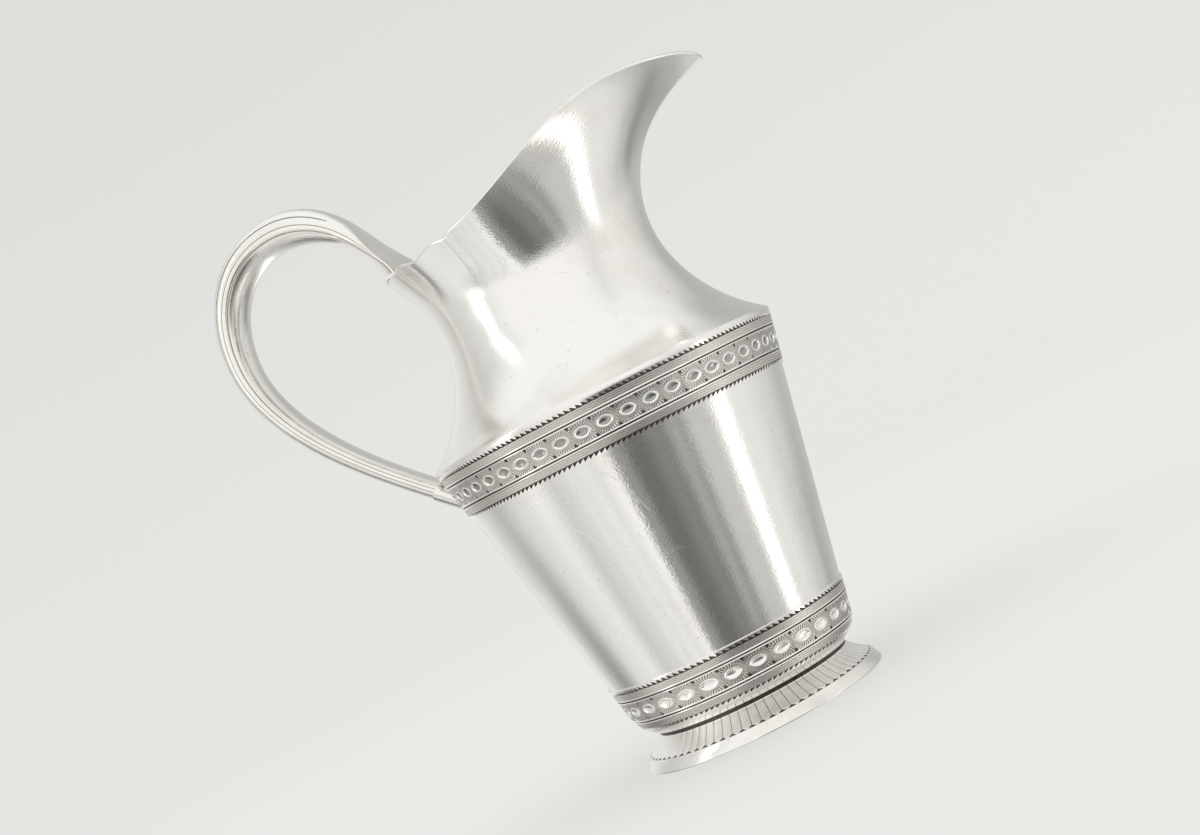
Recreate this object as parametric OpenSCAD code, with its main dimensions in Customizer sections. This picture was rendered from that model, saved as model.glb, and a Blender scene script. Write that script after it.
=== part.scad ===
// Silver cream jug with a high loop handle.
// Z points up and the foot stands on Z = 0. The spout points along +X and the handle lies along -X.

/* [Body] */
// Outer radius of the tapered body at its top edge
body_top_r = 43.7; // [40:0.1:56]
// Height of the body's top edge, where the neck begins
body_top_z = 85; // [68:1:110]
// Outer radius where the straight taper ends and the bottom curve begins
body_low_r = 28.9; // [27:0.1:36]
// Height where the bottom curve begins
body_low_z = 14; // [13:0.5:18]
// Outer radius of the turned-in bottom edge
body_end_r = 25.4; // [23:0.1:26.5]
// Height of the turned-in bottom edge
body_end_z = 8; // [6:0.5:10]
// Thickness of the sheet metal
wall = 0.7; // [0.5:0.05:1.2]
// Width of the flat ledge that carries the base disc
ledge_w = 3.4; // [2:0.1:6]
// Thickness of the base disc
disc_t = 0.8; // [0.6:0.1:2]

/* [Neck and spout] */
// Overhang of the sharp shoulder edge beyond the body's top edge
shoulder_lip = 0.45; // [0.3:0.05:1.5]
// Height of the shoulder edge above the body's top edge
shoulder_h = 0.9; // [0.5:0.1:2]
// Outer radius of the throat
throat_r = 28.3; // [22:0.1:34]
// Height of the throat above the body's top edge
throat_h = 29.5; // [24:0.5:38]
// Outer radius of the rim at its sides
rim_side_r = 35; // [30:0.5:42]
// Outer radius of the rim behind, under the handle
rim_back_r = 33.8; // [30:0.1:40]
// Reach of the spout's tip from the centre line
spout_reach = 56.9; // [46:0.5:68]
// Height of the level rim behind, above the body's top edge
rim_back_h = 46; // [40:0.5:56]
// Rise of the rim's crest above the level rim behind
crest_rise = 16.5; // [10:0.5:22]
// Drop from the rim's crest to the spout's tip
tip_drop = 3.4; // [1:0.1:8]
// Angle from the spout at which the rim's wavy notch lies
notch_a = 108.6; // [100:0.2:125]
// Height of the small crest beside the notch
wave_h = 0.6; // [0.2:0.1:1.2]
// Height of the wire soldered along the rim
wire_h = 0.5; // [0.4:0.05:1.2]

/* [Bands] */
// Thickness of the two rolled bands
band_t = 0.45; // [0.3:0.05:0.8]
// Height of the upper band
upper_band_h = 12.6; // [8:0.2:20]
// Gap between the upper band's top edge and the neck
upper_band_gap = 0.1; // [0.1:0.1:2]
// Height of the lower band's top edge above the body's bottom curve
lower_band_h = 7.6; // [6.8:0.2:14]
// Depth of the grooves beside each frieze
groove_d = 0.25; // [0.1:0.05:0.3]
// Distance of a groove from its band's edge
groove_in = 3.3; // [2.6:0.1:3.6]

/* [Foot] */
// Outer radius of the foot's resting rim
foot_r = 30.7; // [28:0.1:38]
// Height of the plain foot rim
foot_rim_h = 2.9; // [2:0.1:5]
// Width of the plain foot rim's ring
foot_ring_w = 3; // [2:0.1:6]
// Step from the foot rim's edge in to the collar
foot_step = 1.4; // [0.8:0.1:3]
// Step from the body's bottom edge in to the collar's narrow top
collar_step = 0.8; // [0.3:0.1:1.5]
// Height of the straight part at the collar's top
collar_neck_h = 1.2; // [0.6:0.1:2]
// Hollow of the collar's flare, measured from a straight line
collar_hollow = 0.35; // [0:0.05:0.8]

/* [Handle] */
// Farthest reach of the handle's centre line behind the centre line of the jug
handle_reach = 77; // [70:0.5:90]
// Height of the handle's centre line at its top, above the level rim
handle_rise = 24.9; // [20:0.1:34]
// Height of the handle's lowest centre point below the body's top edge
handle_foot_drop = 2.5; // [1:0.1:8]
// Gap between the handle's lower end and the upper band, measured level
handle_stand_off = 3; // [2:0.1:6]
// Half the handle's width along the loop
grip_half_w = 6.3; // [4:0.1:8]
// Half the width of the flared upper end
flare_half_w = 14.5; // [10:0.5:17]
// Thickness of the handle at its top
grip_t = 9.4; // [6:0.1:11]
// Thickness of the handle at its lower end
foot_end_t = 5; // [3.4:0.1:6]
// Thickness of the handle at its flared upper end
flare_t = 3.2; // [2.6:0.1:4]
// Thickness of the metal of the hollow handle
handle_wall = 0.8; // [0.5:0.05:1.1]
// Thickness of the plate that closes the handle's upper end
upper_plate_t = 0.9; // [0.6:0.1:2]
// Rim of the two end plates that stands out around the handle
plate_edge = 0.4; // [0.2:0.1:1.2]

/* [Hidden] */
$fn = 96;
bright_silver = [0.86, 0.86, 0.84];
soft_silver = [0.78, 0.78, 0.76];
dull_silver = [0.68, 0.68, 0.66];

// The body's straight taper
taper = (body_top_r - body_low_r) / (body_top_z - body_low_z);
taper_a = atan(taper);
level_wall = wall / cos(taper_a);

// The arc that carries the taper on into the turned-in bottom edge
curve_dx = body_low_r - body_end_r;
curve_dz = body_low_z - body_end_z;
curve_r = (curve_dx ^ 2 + curve_dz ^ 2) / (2 * (curve_dx * cos(taper_a) - curve_dz * sin(taper_a)));
curve_x = body_low_r - curve_r * cos(taper_a);
curve_z = body_low_z + curve_r * sin(taper_a);
curve_steps = 8;
curve_end_a = asin((curve_z - body_end_z) / curve_r);
band_steps = 5;
floor_z = body_end_z + wall;
lower_band_z = body_low_z + lower_band_h;
collar_low_r = foot_r - foot_step;
collar_top_r = body_end_r - collar_step;
collar_wall = 1.25 * level_wall;

// Neck and rim
shoulder_r = body_top_r + shoulder_lip;
shoulder_z = body_top_z + shoulder_h;
throat_z = body_top_z + throat_h;
rim_back_z = body_top_z + rim_back_h;
rim_crest_z = rim_back_z + crest_rise;
beak_spread = 29;
beak_blunt = 6;
crest_a = 25;
step_a = 5;
wave_a = 24;
wave_end_a = notch_a + 29;
lower_steps = 7;
upper_steps = 10;
rim_angle_back = 63;
rim_angle_drop = 51;
rim_lean = 0.6;

// Angles of the neck's sections, closer together at the tip and at the notch
half_angles = concat([0, 1.5], [for (a = [3:3:notch_a - 9]) a], [for (k = [-4:5]) notch_a + 1.5 * k],
    [for (k = [1:13]) notch_a + 7.5 + (180 - notch_a - 7.5) * k / 13]);
side_angles = [for (k = [len(half_angles) - 2:-1:1]) 360 - half_angles[k]];
neck_angles = concat(half_angles, side_angles);

// Handle
upper_band_z = body_top_z - upper_band_gap;
handle_top_z = rim_back_z + handle_rise;
handle_base_z = rim_back_z + wire_h + upper_plate_t;
flare_mid_r = rim_back_r - flare_t / 2;
handle_base_x = -flare_mid_r;
handle_foot_z = body_top_z - handle_foot_drop;
handle_foot_x = -(band_r(handle_foot_z) + handle_stand_off);
handle_top_x = -(flare_mid_r + handle_reach) / 2;
handle_bend_z = handle_top_z - 26;
handle_arm = 13.8;
handle_lean = 0.93;
seam_steps = 12;
path_steps = 13;
foot_half_w = grip_half_w * 0.86;

function lerp(a, b, t) = a + (b - a) * t;
function smooth(t) = let(c = min(1, max(0, t))) c * c * (3 - 2 * c);
function bezier(p, t) = p[0] * (1 - t) ^ 3 + p[1] * 3 * t * (1 - t) ^ 2 + p[2] * 3 * t ^ 2 * (1 - t) + p[3] * t ^ 3;
function bezier_dir(p, t) =
    let(d = (p[1] - p[0]) * (1 - t) ^ 2 + (p[2] - p[1]) * 2 * t * (1 - t) + (p[3] - p[2]) * t ^ 2) d / norm(d);

// Radius of the body's straight side, and of the band on it, at a height
function side_r(z) = body_low_r + taper * (z - body_low_z);
function band_r(z) = side_r(z) + band_t;
function curve_point(k, inset) =
    let(a = taper_a + (curve_end_a - taper_a) * k / curve_steps)
    [curve_x + (curve_r - inset) * cos(a), curve_z - (curve_r - inset) * sin(a)];

// How far a section belongs to the beak, from 1 at the tip to almost 0 behind
function beak(a) = exp((beak_blunt - sqrt(a ^ 2 + beak_blunt ^ 2)) / beak_spread);
function turn(a) = a > 180 ? 360 - a : a;
function rim_r(a) =
    let(t = ((1 - cos(a)) / 2) ^ 2, r = lerp(rim_side_r, rim_back_r, t))
    r + (spout_reach - r) * beak(a) * (1 - t);
function rim_front_z(a) =
    a < crest_a
    ? rim_crest_z - tip_drop * (1 - a / crest_a) ^ 2.5
    : rim_back_z + wave_h + (crest_rise - wave_h) * (1 + cos(min(180, 180 * (a - crest_a) / (notch_a + 4 - crest_a)))) / 2;
function rim_wave_z(a) = rim_back_z + (a < wave_end_a ? wave_h * cos(360 * (a - notch_a - 5) / wave_a) : wave_h)
    - wave_h * smooth((a - wave_end_a) / 6);
function rim_z(a) =
    lerp(rim_front_z(a), rim_wave_z(a), smooth((a - notch_a + step_a) / step_a));

// The four control points of the curve below the throat, and of the one above it
function lower_curve() = [[shoulder_r, shoulder_z], [throat_r + 7.2, shoulder_z + 6.1],
    [throat_r, throat_z - 11.5], [throat_r, throat_z]];
function rim_angle(a) = rim_angle_back - rim_angle_drop * beak(a);
function upper_curve(a) =
    let(tip = [rim_r(a), rim_z(a)], arm = 6 + 8.6 * beak(a), b = rim_angle(a))
    [[throat_r, throat_z], [throat_r, throat_z + 6 + 11 * beak(a)], tip - arm * [cos(b), sin(b)], tip];
function inward(d) = [-d[1], d[0]] * wall;
function rim_edge(a) = let(b = rim_angle(a)) inward([cos(b), sin(b)]) - wall * min(rim_lean, 1 / tan(b)) * [cos(b), sin(b)];

// One section of the neck as a closed outline: up the outside, over the rim, down the inside
function neck_outside(a) = concat([[shoulder_r, body_top_z]],
    [for (k = [0:lower_steps]) bezier(lower_curve(), k / lower_steps)],
    [for (k = [1:upper_steps]) bezier(upper_curve(a), k / upper_steps)]);
function neck_inside(a) = concat([[rim_r(a), rim_z(a)] + rim_edge(a)],
    [for (k = [upper_steps - 1:-1:1])
        bezier(upper_curve(a), k / upper_steps) + inward(bezier_dir(upper_curve(a), k / upper_steps))],
    [for (k = [lower_steps:-1:1])
        bezier(lower_curve(), k / lower_steps) + inward(bezier_dir(lower_curve(), k / lower_steps))],
    [[body_top_r - level_wall, body_top_z]]);
function neck_section(a) = concat(neck_outside(a), neck_inside(a));
function wire_section(a) =
    let(out = [rim_r(a), rim_z(a)], in = out + rim_edge(a), f = (in - out) / norm(in - out), up = [f[1], -f[0]])
    [out, out + up * wire_h * 0.55 - f * 0.08, lerp(out, in, 0.25) + up * wire_h,
        lerp(out, in, 0.75) + up * wire_h, in + up * wire_h * 0.55 + f * 0.08, in];
function stand(section, a) = [for (p = section) [p[0] * cos(a), p[0] * sin(a), p[1]]];

// The handle's centre line: three curves from the rim, over the top and down to the body
function handle_curves() = [
    [[handle_base_x, handle_base_z], [handle_base_x - 0.5, handle_base_z + 10.5],
        [handle_top_x + 12.7, handle_top_z], [handle_top_x, handle_top_z]],
    [[handle_top_x, handle_top_z], [handle_top_x - 12.8, handle_top_z],
        [-handle_reach, handle_bend_z + 15], [-handle_reach, handle_bend_z]],
    [[-handle_reach, handle_bend_z], [-handle_reach, handle_bend_z - 17],
        [handle_foot_x - handle_arm, handle_foot_z + handle_arm * handle_lean], [handle_foot_x, handle_foot_z]]];
function handle_point(t) = bezier(handle_curves()[min(2, floor(t))], t - min(2, floor(t)));
function handle_dir(t) = bezier_dir(handle_curves()[min(2, floor(t))], t - min(2, floor(t)));
function handle_half_w(t) =
    t < 1 ? lerp(flare_half_w, grip_half_w, smooth(t / 0.55)) : lerp(grip_half_w, foot_half_w, smooth((t - 1.7) / 1.3));
function handle_t(t) =
    t < 1 ? lerp(flare_t, grip_t, smooth((t - 0.05) / 0.9)) : lerp(grip_t, foot_end_t, smooth((t - 1.1) / 1.8));
function wrap(t) = 1 - smooth(t / 0.5);

// A ring of half the handle's cross-section: side = 1 is the back, side = -1 the inner half
function half_ring(t, side, inset) =
    let(w = handle_half_w(t) - inset, d = handle_t(t) / 2 - inset)
    [for (k = [0:seam_steps]) let(a = 180 * k / seam_steps) side * [w * cos(a), d * sin(a)]];
function half_section(t, side) =
    let(ring = half_ring(t, side, 0), bore = half_ring(t, side, handle_wall))
    concat(ring, [for (k = [seam_steps:-1:0]) bore[k]]);

// The outside of the loop is to the left of the way the centre line runs
function handle_ring(t, side) =
    let(c = handle_point(t), d = handle_dir(t), out = [d[1], -d[0]])
    [for (p = half_section(t, side))
        let(bend = wrap(t) * (flare_mid_r - sqrt(flare_mid_r ^ 2 - p[0] ^ 2)))
        [c[0] + out[0] * p[1] + bend, p[0], c[1] + out[1] * p[1]]];

// Skins a row of outlines; a closed row joins its last outline to its first.
// The ends of an open row are thin C shapes, each closed by a strip between its outer and inner edge.
module skin(rings, closed, flip) {
    n = len(rings);
    m = len(rings[0]);
    last = closed ? n - 1 : n - 2;
    quads = [for (i = [0:last], j = [0:m - 1])
        [i * m + j, i * m + (j + 1) % m, ((i + 1) % n) * m + (j + 1) % m, ((i + 1) % n) * m + j]];
    sides = [for (q = quads, half = [0, 1])
        flip ? (half == 0 ? [q[0], q[1], q[3]] : [q[1], q[2], q[3]])
            : (half == 0 ? [q[0], q[1], q[2]] : [q[0], q[2], q[3]])];
    strip = [for (j = [0:m / 2 - 2], half = [0, 1]) half == 0 ? [j, j + 1, m - 1 - j] : [j + 1, m - 2 - j, m - 1 - j]];
    start = [for (f = strip) [f[2], f[1], f[0]]];
    end = [for (f = strip) [for (v = f) (n - 1) * m + v]];
    polyhedron(points = [for (r = rings, p = r) p], faces = closed ? sides : concat(sides, start, end), convexity = 6);
}

// Tapered body with its turned-in bottom edge and the ledge inside
module body_wall() {
    inner_a = asin((curve_z - floor_z) / (curve_r - wall));
    outside = [for (k = [0:curve_steps]) curve_point(k, 0)];
    inside = [for (k = [0:curve_steps]) let(a = lerp(inner_a, taper_a, k / curve_steps))
        [curve_x + (curve_r - wall) * cos(a), curve_z - (curve_r - wall) * sin(a)]];
    color(bright_silver)
    rotate_extrude()
    polygon(concat([[body_top_r, body_top_z]], outside,
        [[body_end_r - ledge_w, body_end_z], [body_end_r - ledge_w, floor_z]],
        inside, [[body_top_r - level_wall, body_top_z]]));
}

// Base disc, resting on the ledge inside the body
module base_disc() {
    disc_r = curve_x + sqrt((curve_r - wall) ^ 2 - (curve_z - floor_z) ^ 2);
    color(soft_silver)
    translate([0, 0, floor_z])
    cylinder(h = disc_t, r = disc_r);
}

// Neck, flaring down to the shoulder and up into the rim and the pointed spout
module neck_and_spout() {
    color(bright_silver)
    skin([for (a = neck_angles) stand(neck_section(turn(a)), a)], true, false);
}

// Wire soldered along the whole rim
module rim_wire() {
    color(soft_silver)
    skin([for (a = neck_angles) stand(wire_section(turn(a)), a)], true, true);
}

// Outside of a band on the taper: plain edges, and a groove on each side of the frieze
function band_outside(low_z, high_z) = [
    [band_r(low_z + groove_in - 0.3), low_z + groove_in - 0.3],
    [band_r(low_z + groove_in) - groove_d, low_z + groove_in],
    [band_r(low_z + groove_in + 0.3), low_z + groove_in + 0.3],
    [band_r(high_z - groove_in - 0.3), high_z - groove_in - 0.3],
    [band_r(high_z - groove_in) - groove_d, high_z - groove_in],
    [band_r(high_z - groove_in + 0.3), high_z - groove_in + 0.3],
    [band_r(high_z), high_z]];

// Rolled band under the shoulder
module upper_band() {
    low_z = upper_band_z - upper_band_h;
    color(dull_silver)
    rotate_extrude()
    polygon(concat([[side_r(low_z), low_z], [band_r(low_z), low_z]], band_outside(low_z, upper_band_z),
        [[side_r(upper_band_z), upper_band_z]]));
}

// Rolled band at the bottom, following the body's curve
module lower_band() {
    inside = [for (k = [0:band_steps]) curve_point(k, 0)];
    outside = [for (k = [band_steps:-1:1]) curve_point(k, -band_t)];
    color(dull_silver)
    rotate_extrude()
    polygon(concat([[side_r(lower_band_z), lower_band_z]], inside, outside,
        [[band_r(body_low_z), body_low_z],
            [band_r(lower_band_z - groove_in - 0.3), lower_band_z - groove_in - 0.3],
            [band_r(lower_band_z - groove_in) - groove_d, lower_band_z - groove_in],
            [band_r(lower_band_z - groove_in + 0.3), lower_band_z - groove_in + 0.3],
            [band_r(lower_band_z), lower_band_z]]));
}

// Flared collar that carries the body on the foot rim
module foot_collar() {
    top_z = body_end_z;
    flare_z = top_z - collar_neck_h;
    steps = 8;
    flare = [for (k = [0:steps]) let(t = k / steps)
        [lerp(collar_top_r, collar_low_r, t) - collar_hollow * sin(180 * t), lerp(flare_z, foot_rim_h, t)]];
    color(soft_silver)
    rotate_extrude()
    polygon(concat([[collar_top_r, top_z]], flare,
        [for (k = [steps:-1:0]) flare[k] - [collar_wall, 0]], [[collar_top_r - collar_wall, top_z]]));
}

// Plain rim that the jug stands on
module foot_rim() {
    color(bright_silver)
    rotate_extrude()
    polygon([[foot_r - foot_ring_w, 0], [foot_r - 0.4, 0], [foot_r - 0.1, 0.3], [foot_r, 0.8],
        [foot_r - 0.15, foot_rim_h * 0.55], [collar_low_r + 0.3, foot_rim_h],
        [collar_low_r - collar_wall - 0.3, foot_rim_h]]);
}

// Half of the hollow handle, swept from the rim to the body
module handle_half(side) {
    times = [for (k = [0:3 * path_steps]) k / path_steps];
    skin([for (t = times) handle_ring(t, side)], false, false);
}

module handle_back() {
    color(bright_silver) handle_half(1);
}

module handle_inner() {
    color(soft_silver) handle_half(-1);
}

// Curved plate that closes the flared upper end and sits on the rim wire
module handle_upper_plate() {
    half_t = flare_t / 2 + plate_edge;
    half_a = asin((flare_half_w + plate_edge) / flare_mid_r);
    color(soft_silver)
    translate([0, 0, rim_back_z + wire_h])
    rotate([0, 0, 180 - half_a])
    rotate_extrude(angle = 2 * half_a)
    translate([flare_mid_r - half_t, 0])
    square([2 * half_t, upper_plate_t]);
}

// Oval plate between the handle's lower end and the upper band
module handle_lower_plate() {
    run = 3 * handle_stand_off + 6;
    low_z = upper_band_z - upper_band_h;
    d = handle_dir(3);
    color(soft_silver)
    difference() {
        translate([handle_foot_x, 0, handle_foot_z])
        rotate([0, atan2(d[0], d[1]), 0])
        linear_extrude(run)
        scale([1, (foot_half_w + plate_edge) / (foot_end_t / 2 + plate_edge)])
        circle(r = foot_end_t / 2 + plate_edge);
        translate([0, 0, low_z - 20])
        cylinder(h = upper_band_z - low_z + 20, r1 = band_r(low_z - 20), r2 = band_r(upper_band_z));
    }
}

body_wall();
base_disc();
neck_and_spout();
rim_wire();
upper_band();
lower_band();
foot_collar();
foot_rim();
handle_back();
handle_inner();
handle_upper_plate();
handle_lower_plate();
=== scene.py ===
import math
import bmesh
import bpy
from mathutils import Matrix, Vector


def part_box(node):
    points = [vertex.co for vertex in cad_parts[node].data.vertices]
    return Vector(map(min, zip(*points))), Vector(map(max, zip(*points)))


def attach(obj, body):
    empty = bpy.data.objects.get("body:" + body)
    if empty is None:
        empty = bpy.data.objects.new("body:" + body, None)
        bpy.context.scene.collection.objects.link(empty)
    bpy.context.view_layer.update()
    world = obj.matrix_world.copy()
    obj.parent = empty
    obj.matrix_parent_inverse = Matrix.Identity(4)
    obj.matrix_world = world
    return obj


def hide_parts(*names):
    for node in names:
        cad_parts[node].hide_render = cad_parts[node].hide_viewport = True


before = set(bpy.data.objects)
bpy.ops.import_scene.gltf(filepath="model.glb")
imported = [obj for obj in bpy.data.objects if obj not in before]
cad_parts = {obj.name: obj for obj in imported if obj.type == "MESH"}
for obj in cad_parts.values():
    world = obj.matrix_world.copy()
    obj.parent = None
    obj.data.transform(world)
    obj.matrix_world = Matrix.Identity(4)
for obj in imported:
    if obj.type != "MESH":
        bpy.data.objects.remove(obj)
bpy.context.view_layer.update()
mm = 0.001
fullTurn = 2 * math.pi
print("frame loaded")


# small sums

def blend(a, b, t):
    return a + (b - a) * t


def ease(t):
    t = min(1, max(0, t))
    return t * t * (3 - 2 * t)


def easeOver(t, run):  # eases from 0 to 1 between the two ends of a run
    return ease((t - run[0]) / (run[1] - run[0]))


def curveAt(points, t):
    a, b, c, d = points
    return a * (1 - t) ** 3 + b * 3 * t * (1 - t) ** 2 + c * 3 * t * t * (1 - t) + d * t ** 3


def curveAlong(points, t):
    a, b, c, d = points
    return ((b - a) * (1 - t) ** 2 + (c - b) * 2 * t * (1 - t) + (d - c) * t * t).normalized()


def standing(point, angle):  # a point (radius, height) of a section, stood at an angle round the centre line
    return Vector((point[0] * math.cos(angle), point[0] * math.sin(angle), point[1])) * mm


# mesh helpers

weldGap = 0.002 * mm


def turnProfile(points, columns, closed=True):  # spins an outline of (radius, height) right round
    bm = bmesh.new()
    line = [bm.verts.new(standing(p, 0)) for p in points]
    edges = [bm.edges.new(pair) for pair in zip(line, line[1:])]
    if closed:
        edges.append(bm.edges.new((line[-1], line[0])))
    bmesh.ops.spin(bm, geom=line + edges, cent=(0, 0, 0), axis=(0, 0, 1), angle=fullTurn, steps=columns,
                   use_merge=True, use_normal_flip=False, use_duplicate=False)
    return bm


def turnSections(count, columns, place):  # spins a closed line of points, then sets each by its angle and number
    bm = turnProfile([(1, n / mm) for n in range(count)], columns)
    for v in bm.verts:
        v.co = place(math.atan2(v.co.y, v.co.x), round(v.co.z))
    return bm


def openEdges(bm):
    return [e for e in bm.edges if e.is_boundary]


def onlyNew(result, kind):
    return [g for g in result["geom"] if isinstance(g, kind)]


def stretchEdges(bm, edges, place):  # one more row of faces beyond some edges, each new vertex set by place
    result = bmesh.ops.extrude_edge_only(bm, edges=edges)
    fresh = set(onlyNew(result, bmesh.types.BMVert))
    for v in fresh:
        v.co = place(v.co)
    return [e for e in onlyNew(result, bmesh.types.BMEdge) if fresh.issuperset(e.verts)]


def copiesRound(bm, count):  # repeats what is in the mesh round the centre line and joins the copies
    everything = bm.verts[:] + bm.edges[:] + bm.faces[:]
    bmesh.ops.spin(bm, geom=everything, cent=(0, 0, 0), axis=(0, 0, 1), angle=fullTurn * (count - 1) / count,
                   steps=count - 1, use_merge=False, use_normal_flip=False, use_duplicate=True)
    bmesh.ops.remove_doubles(bm, verts=bm.verts, dist=2 * weldGap)


def makePiece(bm, name, materials, nodes, crease=32):  # edges sharper than the crease angle stay sharp
    bmesh.ops.remove_doubles(bm, verts=bm.verts, dist=weldGap)
    bmesh.ops.recalc_face_normals(bm, faces=bm.faces)
    for f in bm.faces:
        f.smooth = True
    for e in bm.edges:
        e.smooth = len(e.link_faces) == 2 and e.calc_face_angle(0) < math.radians(crease)
    mesh = bpy.data.meshes.new(name)
    bm.to_mesh(mesh)
    bm.free()
    for m in materials:
        mesh.materials.append(m)
    piece = bpy.data.objects.new(name, mesh)
    bpy.context.scene.collection.objects.link(piece)
    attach(piece, "root")
    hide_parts(*nodes)
    print(name, "made,", len(mesh.polygons), "faces")


# node helpers

def wire(tree, kind, settings=(), **inputs):  # one node with its settings and its inputs, values or sockets
    node = tree.nodes.new(kind)
    for key, value in dict(settings).items():
        setattr(node, key, value)
    for key, value in inputs.items():
        numbered = key[0] == "i" and key[1:].isdigit()
        socket = node.inputs[int(key[1:]) if numbered else key.replace("_", " ")]
        if isinstance(value, bpy.types.NodeSocket):
            tree.links.new(value, socket)
        else:
            socket.default_value = value
    return node


def maths(tree, operation, *values):
    inputs = {f"i{n}": value for n, value in enumerate(values)}
    return wire(tree, "ShaderNodeMath", {"operation": operation}, **inputs).outputs[0]


def added(tree, first, *others):
    for value in others:
        first = maths(tree, "ADD", first, value)
    return first


def times(tree, first, *others):
    for value in others:
        first = maths(tree, "MULTIPLY", first, value)
    return first


def softStep(tree, value, low, high):
    return wire(tree, "ShaderNodeMapRange", {"interpolation_type": "SMOOTHSTEP"}, Value=value,
                From_Min=low, From_Max=high).outputs["Result"]


def mixed(tree, share, first, second, kind="MIX"):
    return wire(tree, "ShaderNodeMix", {"data_type": "RGBA", "blend_type": kind}, Factor=share, A=first,
                B=second).outputs["Result"]


# camera and light

viewpoint = {"distance": 0.4855, "eyeHeight": 0.0729, "turn": 11, "lean": 26.98, "tilt": 0.88, "aside": -0.0033,
             "lens": 61.17}


def makeCamera():
    turn, lean, tilt = (math.radians(viewpoint[k]) for k in ("turn", "lean", "tilt"))
    level = Vector((math.cos(turn), math.sin(turn), 0))
    ahead = Vector((-math.sin(turn) * math.cos(tilt), math.cos(turn) * math.cos(tilt), math.sin(tilt)))
    above = level.cross(ahead)
    right = level * math.cos(lean) - above * math.sin(lean)
    up = level * math.sin(lean) + above * math.cos(lean)
    back = Vector((math.sin(turn), -math.cos(turn), 0)) * viewpoint["distance"]
    place = back + level * viewpoint["aside"] + Vector((0, 0, viewpoint["eyeHeight"]))
    camera = bpy.data.objects.new("camera", bpy.data.cameras.new("camera"))
    camera.data.lens = viewpoint["lens"]
    camera.data.clip_start = 0.01
    camera.matrix_world = Matrix.Translation(place) @ Matrix((right, up, -ahead)).transposed().to_4x4()
    bpy.context.scene.collection.objects.link(camera)
    bpy.context.scene.camera = camera


sweep = {"floorRadius": 0.75, "curve": 0.55, "wallHeight": 1.5, "bendSteps": 12, "columns": 96,
         "paper": (0.30, 0.30, 0.295, 1), "light": (1, 1, 0.99, 1), "glow": 0.45}


def makeSweep():  # pale round studio floor that curves up into its wall
    floor, curve, steps = sweep["floorRadius"] / mm, sweep["curve"] / mm, sweep["bendSteps"]
    turns = [math.radians(90 * k / steps) for k in range(steps + 1)]
    bend = [(floor + curve * math.sin(a), curve - curve * math.cos(a)) for a in turns]
    outline = [(0.01, 0)] + bend + [(floor + curve, sweep["wallHeight"] / mm)]
    bm = turnProfile(outline, sweep["columns"], closed=False)
    bmesh.ops.remove_doubles(bm, verts=bm.verts, dist=0.1 * mm)
    bmesh.ops.recalc_face_normals(bm, faces=bm.faces)
    bmesh.ops.reverse_faces(bm, faces=bm.faces)
    for f in bm.faces:
        f.smooth = True
    mesh = bpy.data.meshes.new("studio_sweep")
    bm.to_mesh(mesh)
    bm.free()
    material = bpy.data.materials.new("studioPaper")
    material.use_nodes = True
    shader = material.node_tree.nodes["Principled BSDF"]
    shader.inputs["Base Color"].default_value = sweep["paper"]
    shader.inputs["Roughness"].default_value = 0.9
    shader.inputs["Specular IOR Level"].default_value = 0.1
    shader.inputs["Emission Color"].default_value = sweep["light"]
    shader.inputs["Emission Strength"].default_value = sweep["glow"]
    mesh.materials.append(material)
    backdrop = bpy.data.objects.new("studio_sweep", mesh)
    bpy.context.scene.collection.objects.link(backdrop)
    backdrop.visible_glossy = False
    backdrop.visible_diffuse = False
    backdrop.visible_shadow = False


lamps = {"places": {"key": (-0.25, -0.2, 1.1), "fill": (0.4, 0.3, 1.2)}, "aim": (0, 0, 0.08), "size": 0.9, "power": 3}


def makeLamp(name, place):
    light = bpy.data.lights.new(name, "AREA")
    light.shape = "DISK"
    light.size = lamps["size"]
    light.energy = lamps["power"]
    lamp = bpy.data.objects.new(name, light)
    lamp.location = place
    lamp.visible_glossy = False
    lamp.rotation_mode = "QUATERNION"
    lamp.rotation_quaternion = (Vector(lamps["aim"]) - Vector(place)).to_track_quat("-Z", "Y")
    bpy.context.scene.collection.objects.link(lamp)


# what polished silver sees round it: rings of panels by compass angle, as (angle, brightness), spout side 0,
# turning left, one ring low down and one above it; the heights are the share of a full upward look
room = {
    "panels": [(0, 0.80), (22, 0.80), (34, 0.62), (52, 0.30), (66, 0.42), (80, 0.75), (96, 1.6), (104, 0.82),
               (120, 0.62), (150, 0.22), (164, 0.30), (176, 0.72), (200, 0.85), (214, 0.66), (250, 0.88),
               (262.5, 0.95), (265.5, 0.26), (273, 0.34), (278, 0.14), (290, 0.17), (297, 0.26), (303, 0.20),
               (308, 0.36), (314, 0.44), (318, 0.30), (323, 0.52), (335, 0.62), (343, 0.66), (350, 1.9), (356, 1.9),
               (360, 0.80)],
    "upperPanels": [(0, 0.92), (30, 0.80), (62, 0.50), (92, 0.56), (122, 0.86), (160, 0.62), (190, 0.74), (202, 0.86),
                    (206, 1.8), (212, 1.8), (217, 0.84), (236, 0.97), (300, 0.98), (320, 0.94), (332, 0.80),
                    (346, 0.90), (360, 0.92)],
    "upperFrom": (-0.37, -0.13), "skyFrom": (0.60, 0.85), "groundFrom": (-0.72, -0.98),
    "sky": 0.98, "ground": 0.62, "tint": (1.0, 0.985, 0.95), "plainTint": (1, 0.99, 0.97),
    "wobble": 0.05, "wobbleScale": 2.2, "streaks": 38, "streakDepth": 0.5,
}


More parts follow.
